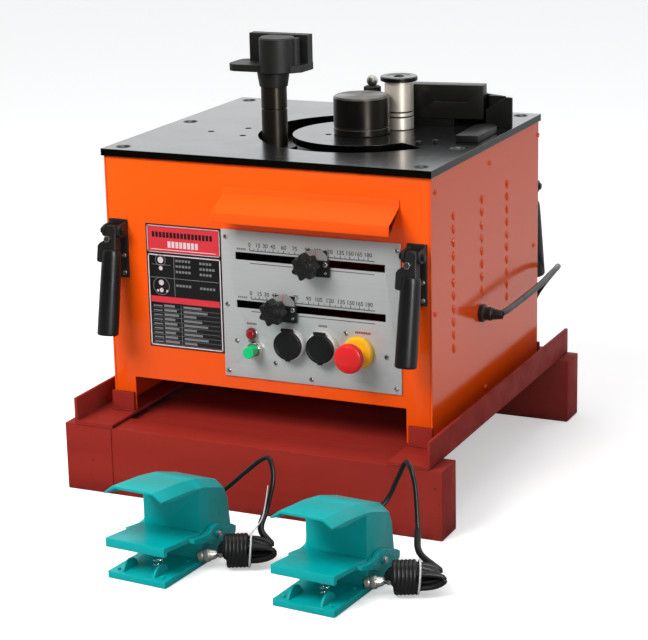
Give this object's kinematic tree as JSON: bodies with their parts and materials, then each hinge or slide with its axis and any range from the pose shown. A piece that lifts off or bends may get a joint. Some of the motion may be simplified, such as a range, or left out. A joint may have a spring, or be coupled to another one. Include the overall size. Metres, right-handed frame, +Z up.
{
  "type": "electric rebar bender",
  "caption": "Portable electric rebar bender: tooled top plate on an orange cabinet, with a front control panel, carry handles, a steel skid and foot pedals.",
  "frame": {"origin": "on the floor, under the middle of the front skid beam", "axes": "+X to the operator's right, +Y to the back of the machine, +Z up; the front panel faces -Y"},
  "size_m": [0.6337, 0.9477, 0.629],
  "materials": {
    "orange_paint": "orange powder coat, semi-gloss",
    "red_oxide": "red oxide brushed-on primer",
    "plate_steel": "ground and blackened plate",
    "black_steel": "black oxide, oiled",
    "bright_steel": "turned, bright",
    "gear_steel": "hobbed, oiled",
    "cast_iron": "grey paint on castings",
    "panel_grey": "light grey satin sheet",
    "label_print": "printed film",
    "black_plastic": "moulded black",
    "black_rubber": "smooth rubber",
    "red_plastic": "moulded red",
    "yellow_plastic": "moulded yellow",
    "green_plastic": "moulded green",
    "lamp_red": "clear red lens",
    "teal_paint": "teal enamel on a casting",
    "chrome": "plated"
  },
  "bodies": {
    "machine": {"button_bezel": "chrome", "cabinet_body": "orange_paint", "cable_gland": "black_plastic", "control_panel": "panel_grey", "estop_ring": "yellow_plastic", "fence_block": "black_steel", "front_canopy": "orange_paint", "gear_plate": "cast_iron", "geared_motor": "cast_iron", "handle_bracket_front_left": "black_steel", "handle_bracket_front_right": "black_steel", "handle_bracket_rear_left": "black_steel", "handle_bracket_rear_right": "black_steel", "main_bearing": "gear_steel", "mandrel_pin": "bright_steel", "power_cord": "black_rubber", "power_lamp": "lamp_red", "rating_plate": "label_print", "roller_pin": "black_steel", "side_panel_left": "orange_paint", "side_panel_right": "orange_paint", "skid_beam_front": "red_oxide", "skid_beam_rear": "red_oxide", "skid_deck": "red_oxide", "skid_rail_left": "red_oxide", "skid_rail_right": "red_oxide", "socket_left": "black_plastic", "socket_right": "black_plastic", "top_plate": "plate_steel"},
    "bending_arm": {"bending_wheel": "gear_steel", "bending_post": "black_steel", "post_head": "black_steel"},
    "step_shaft": {"step_gear": "gear_steel"},
    "motor_shaft": {"motor_pinion": "gear_steel"},
    "centre_former": {"mandrel": "black_steel"},
    "roller": {"support_roller": "bright_steel"},
    "fence": {"fence_bar": "black_steel"},
    "fence_screw": {"fence_screw": "bright_steel"},
    "clamp_nut": {"clamp_nut": "bright_steel"},
    "clamp_lever": {"clamp_lever": "black_steel"},
    "slider_upper": {"slider_upper": "black_plastic"},
    "slider_lower": {"slider_lower": "black_plastic"},
    "knob_upper": {"knob_upper": "black_plastic"},
    "knob_lower": {"knob_lower": "black_plastic"},
    "start_button": {"start_button": "green_plastic"},
    "estop_button": {"estop_button": "red_plastic"},
    "socket_cap_left": {"socket_cap_left": "black_plastic"},
    "socket_cap_right": {"socket_cap_right": "black_plastic"},
    "carry_handle_front_left": {"carry_handle_front_left": "black_rubber"},
    "carry_handle_front_right": {"carry_handle_front_right": "black_rubber"},
    "carry_handle_rear_left": {"carry_handle_rear_left": "black_rubber"},
    "carry_handle_rear_right": {"carry_handle_rear_right": "black_rubber"},
    "pedal_left": {"pedal_body_left": "teal_paint", "pedal_spring_left": "chrome", "pedal_cord_left": "black_rubber"},
    "treadle_left": {"treadle_left": "teal_paint"},
    "pedal_right": {"pedal_body_right": "teal_paint", "pedal_spring_right": "chrome", "pedal_cord_right": "black_rubber"},
    "treadle_right": {"treadle_right": "teal_paint"}
  },
  "joints": [
    {"name": "bend", "type": "hinge", "parent": "machine", "child": "bending_arm", "pos_m": [0.054, 0.2685, 0.45], "axis": [0, 0, 1], "range_deg": [-63, 117]},
    {"name": "step_shaft_spin", "type": "hinge", "parent": "machine", "child": "step_shaft", "pos_m": [-0.132, 0.2685, 0.41], "axis": [0, 0, 1], "range_deg": [-487.5, 262.5]},
    {"name": "motor_spin", "type": "hinge", "parent": "machine", "child": "motor_shaft", "pos_m": [-0.132, 0.3525, 0.41], "axis": [0, 0, 1], "range_deg": [-656.25, 1218.75]},
    {"name": "former_spin", "type": "hinge", "parent": "machine", "child": "centre_former", "pos_m": [0.054, 0.2685, 0.5], "axis": [0, 0, 1], "continuous": true},
    {"name": "roller_spin", "type": "hinge", "parent": "machine", "child": "roller", "pos_m": [0.092, 0.3185, 0.52], "axis": [0, 0, 1], "continuous": true},
    {"name": "fence_slide", "type": "slide", "parent": "machine", "child": "fence", "axis": [0.1444, -0.9895, 0], "range_m": [-0.002, 0.004]},
    {"name": "fence_screw_turn", "type": "hinge", "parent": "fence", "child": "fence_screw", "pos_m": [0.1808, 0.37186, 0.52], "axis": [-0.1444, 0.9895, 0], "range_deg": [-360, 720]},
    {"name": "clamp_nut_turn", "type": "hinge", "parent": "fence", "child": "clamp_nut", "pos_m": [0.03647, 0.34979, 0.54], "axis": [0, 0, 1], "continuous": true},
    {"name": "clamp_lever_swing", "type": "hinge", "parent": "machine", "child": "clamp_lever", "pos_m": [0.223, 0.3215, 0.493], "axis": [0, 0, 1], "range_deg": [0, 75]},
    {"name": "slider_upper_slide", "type": "slide", "parent": "machine", "child": "slider_upper", "axis": [1, 0, 0], "range_m": [-0.101, 0.099]},
    {"name": "slider_lower_slide", "type": "slide", "parent": "machine", "child": "slider_lower", "axis": [1, 0, 0], "range_m": [-0.05, 0.15]},
    {"name": "knob_upper_turn", "type": "hinge", "parent": "slider_upper", "child": "knob_upper", "pos_m": [0.075, 0.0406, 0.3495], "axis": [0, 1, 0], "range_deg": [0, 270]},
    {"name": "knob_lower_turn", "type": "hinge", "parent": "slider_lower", "child": "knob_lower", "pos_m": [0.024, 0.0406, 0.2805], "axis": [0, 1, 0], "range_deg": [0, 270]},
    {"name": "start_press", "type": "slide", "parent": "machine", "child": "start_button", "axis": [0, 1, 0], "range_m": [0, 0.003]},
    {"name": "estop_press", "type": "slide", "parent": "machine", "child": "estop_button", "axis": [0, 1, 0], "range_m": [0, 0.005]},
    {"name": "socket_cap_left_lift", "type": "hinge", "parent": "machine", "child": "socket_cap_left", "pos_m": [0.039, 0.0335, 0.253], "axis": [-1, 0, 0], "range_deg": [0, 70]},
    {"name": "socket_cap_right_lift", "type": "hinge", "parent": "machine", "child": "socket_cap_right", "pos_m": [0.088, 0.0335, 0.253], "axis": [-1, 0, 0], "range_deg": [0, 70]},
    {"name": "carry_handle_front_left_lift", "type": "hinge", "parent": "machine", "child": "carry_handle_front_left", "pos_m": [-0.228, 0.0305, 0.374], "axis": [-1, 0, 0], "range_deg": [0, 79]},
    {"name": "carry_handle_front_right_lift", "type": "hinge", "parent": "machine", "child": "carry_handle_front_right", "pos_m": [0.228, 0.0305, 0.374], "axis": [-1, 0, 0], "range_deg": [0, 79]},
    {"name": "carry_handle_rear_left_lift", "type": "hinge", "parent": "machine", "child": "carry_handle_rear_left", "pos_m": [-0.228, 0.5045, 0.374], "axis": [1, 0, 0], "range_deg": [0, 79]},
    {"name": "carry_handle_rear_right_lift", "type": "hinge", "parent": "machine", "child": "carry_handle_rear_right", "pos_m": [0.228, 0.5045, 0.374], "axis": [1, 0, 0], "range_deg": [0, 79]},
    {"name": "pedal_left_place", "type": "slide", "parent": "machine", "child": "pedal_left", "axis": [0, -1, 0], "range_m": [0, 0.1]},
    {"name": "treadle_left_press", "type": "hinge", "parent": "pedal_left", "child": "treadle_left", "pos_m": [-0.01324, -0.18893, 0.038], "axis": [0.9962, -0.0872, 0], "range_deg": [0, 10], "deforming": ["pedal_spring_left"]},
    {"name": "pedal_right_place", "type": "slide", "parent": "machine", "child": "pedal_right", "axis": [0, -1, 0], "range_m": [0, 0.1]},
    {"name": "treadle_right_press", "type": "hinge", "parent": "pedal_right", "child": "treadle_right", "pos_m": [0.22376, -0.19193, 0.038], "axis": [0.9962, -0.0872, 0], "range_deg": [0, 10], "deforming": ["pedal_spring_right"]}
  ],
  "couplings": [
    {"joint": "step_shaft_spin", "follows": "bend", "ratio": -4.1667},
    {"joint": "motor_spin", "follows": "bend", "ratio": 10.417},
    {"joint": "fence_screw_turn", "follows": "fence_slide", "rad_per_m": 3141.6}
  ]
}
